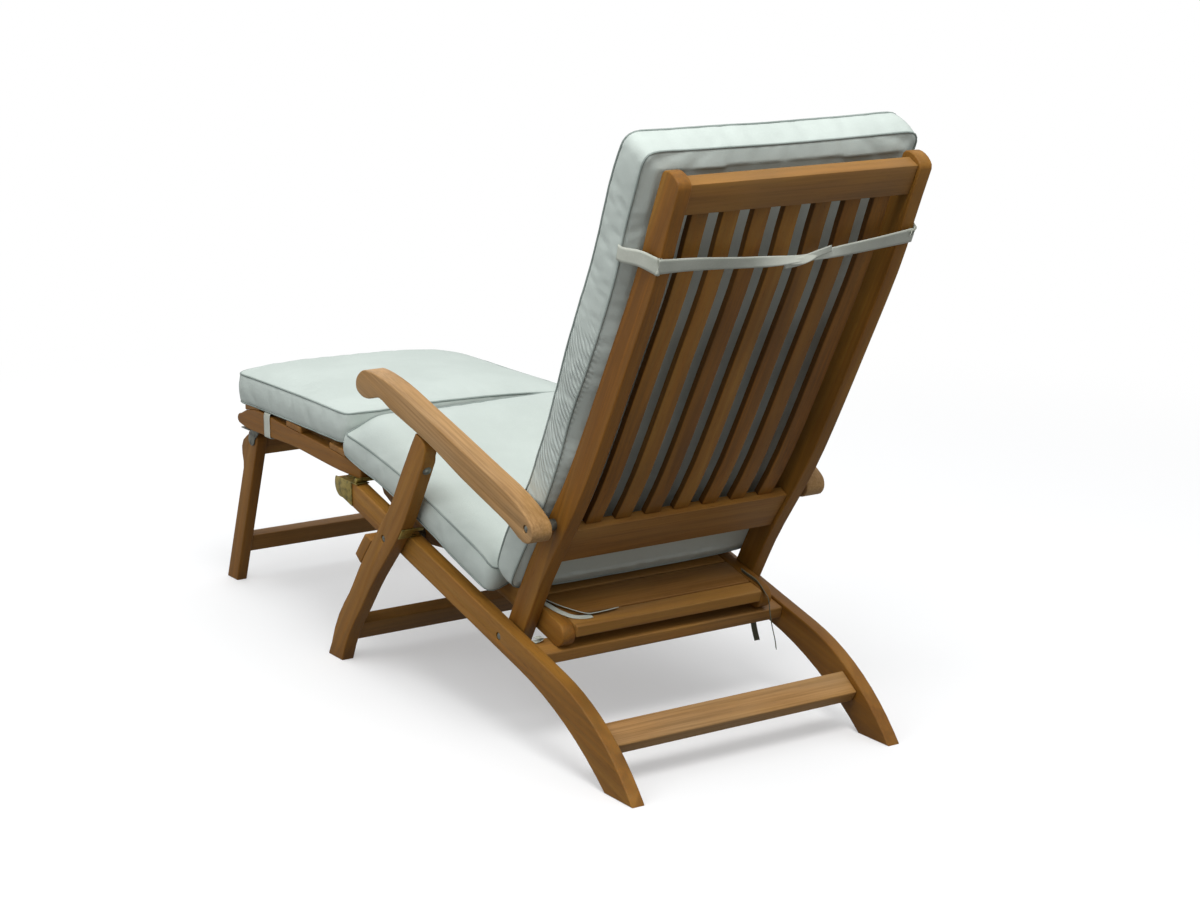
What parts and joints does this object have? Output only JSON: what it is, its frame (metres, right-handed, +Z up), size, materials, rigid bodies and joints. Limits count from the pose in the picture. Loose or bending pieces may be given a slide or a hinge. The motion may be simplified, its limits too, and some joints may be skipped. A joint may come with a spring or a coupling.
{
  "type": "steamer deck chair",
  "caption": "Folding hardwood steamer deck chair with a slatted seat and back, curved arms, a hinged footrest on its own legs and tied seat cushions.",
  "frame": {"origin": "centre of the chair's length and width, on the floor under its feet", "axes": "+Z up, the sitter faces -Y, +X on the sitter's left"},
  "size_m": [0.6, 1.6366, 1.063],
  "materials": {
    "hardwood": "oiled, golden brown",
    "brass": "dull, weathered",
    "steel": "dull, plated",
    "cushion_cloth": "matt woven cotton",
    "webbing": "matt woven tape"
  },
  "bodies": {
    "base": {"main_rail_left": "hardwood", "main_rail_right": "hardwood", "seat_cross_rail": "hardwood", "rear_stretcher": "hardwood", "seat_rail_left": "hardwood", "seat_rail_right": "hardwood", "seat_slat_1": "hardwood", "seat_slat_2": "hardwood", "seat_slat_3": "hardwood", "seat_slat_4": "hardwood", "seat_slat_5": "hardwood", "seat_slat_6": "hardwood", "seat_slat_7": "hardwood", "seat_slat_8": "hardwood", "seat_slat_9": "hardwood", "knee_shoe_left": "brass", "knee_shoe_right": "brass", "leg_bolt_left": "steel", "leg_bolt_right": "steel", "back_bolt_left": "steel", "back_bolt_right": "steel", "seat_cushion": "cushion_cloth"},
    "back": {"back_stile_left": "hardwood", "back_stile_right": "hardwood", "back_top_rail": "hardwood", "back_lower_rail": "hardwood", "back_slat_1": "hardwood", "back_slat_2": "hardwood", "back_slat_3": "hardwood", "back_slat_4": "hardwood", "back_slat_5": "hardwood", "back_slat_6": "hardwood", "back_slat_7": "hardwood", "back_cushion": "cushion_cloth", "back_strap": "webbing", "arm_bolt_left": "steel", "arm_bolt_right": "steel"},
    "arm_left": {"arm_left": "hardwood"},
    "arm_right": {"arm_right": "hardwood"},
    "front_legs": {"front_leg_left": "hardwood", "front_leg_right": "hardwood", "front_leg_stretcher": "hardwood", "stop_block_left": "hardwood", "stop_block_right": "hardwood", "rail_catch_left": "brass", "rail_catch_right": "brass"},
    "footrest": {"footrest_rail_left": "hardwood", "footrest_rail_right": "hardwood", "footrest_slat_1": "hardwood", "footrest_slat_2": "hardwood", "footrest_slat_3": "hardwood", "knee_leaf_left": "brass", "knee_leaf_right": "brass", "footrest_bracket_left": "steel", "footrest_bracket_right": "steel", "foot_cushion": "cushion_cloth"},
    "footrest_legs": {"footrest_leg_left": "hardwood", "footrest_leg_right": "hardwood", "footrest_leg_top_rail": "hardwood", "footrest_leg_stretcher": "hardwood"}
  },
  "joints": [
    {"name": "back_fold", "type": "hinge", "parent": "base", "child": "back", "pos_m": [0, 0.33976, 0.17797], "axis": [1, 0, 0], "range_deg": [0, 80], "deforming": ["seat_cushion", "back_cushion"]},
    {"name": "front_leg_fold", "type": "hinge", "parent": "base", "child": "front_legs", "pos_m": [0, -0.01027, 0.273], "axis": [1, 0, 0], "range_deg": [0, 90]},
    {"name": "arm_left_swing", "type": "hinge", "parent": "back", "child": "arm_left", "pos_m": [0, 0.47279, 0.39898], "axis": [1, 0, 0], "range_deg": [-83, 0]},
    {"name": "arm_right_swing", "type": "hinge", "parent": "back", "child": "arm_right", "pos_m": [0, 0.47279, 0.39898], "axis": [1, 0, 0], "range_deg": [-83, 0]},
    {"name": "footrest_fold", "type": "hinge", "parent": "base", "child": "footrest", "pos_m": [0, -0.16178, 0.3446], "axis": [-1, 0, 0], "range_deg": [0, 45], "deforming": ["foot_cushion"]},
    {"name": "footrest_legs_fold", "type": "hinge", "parent": "footrest", "child": "footrest_legs", "pos_m": [0, -0.67827, 0.318], "axis": [1, 0, 0], "range_deg": [0, 110]}
  ],
  "couplings": [
    {"joint": "front_leg_fold", "follows": "back_fold", "ratio": 1.08},
    {"joint": "arm_left_swing", "follows": "back_fold", "ratio": -1.03},
    {"joint": "arm_right_swing", "follows": "back_fold", "ratio": -1.03}
  ]
}
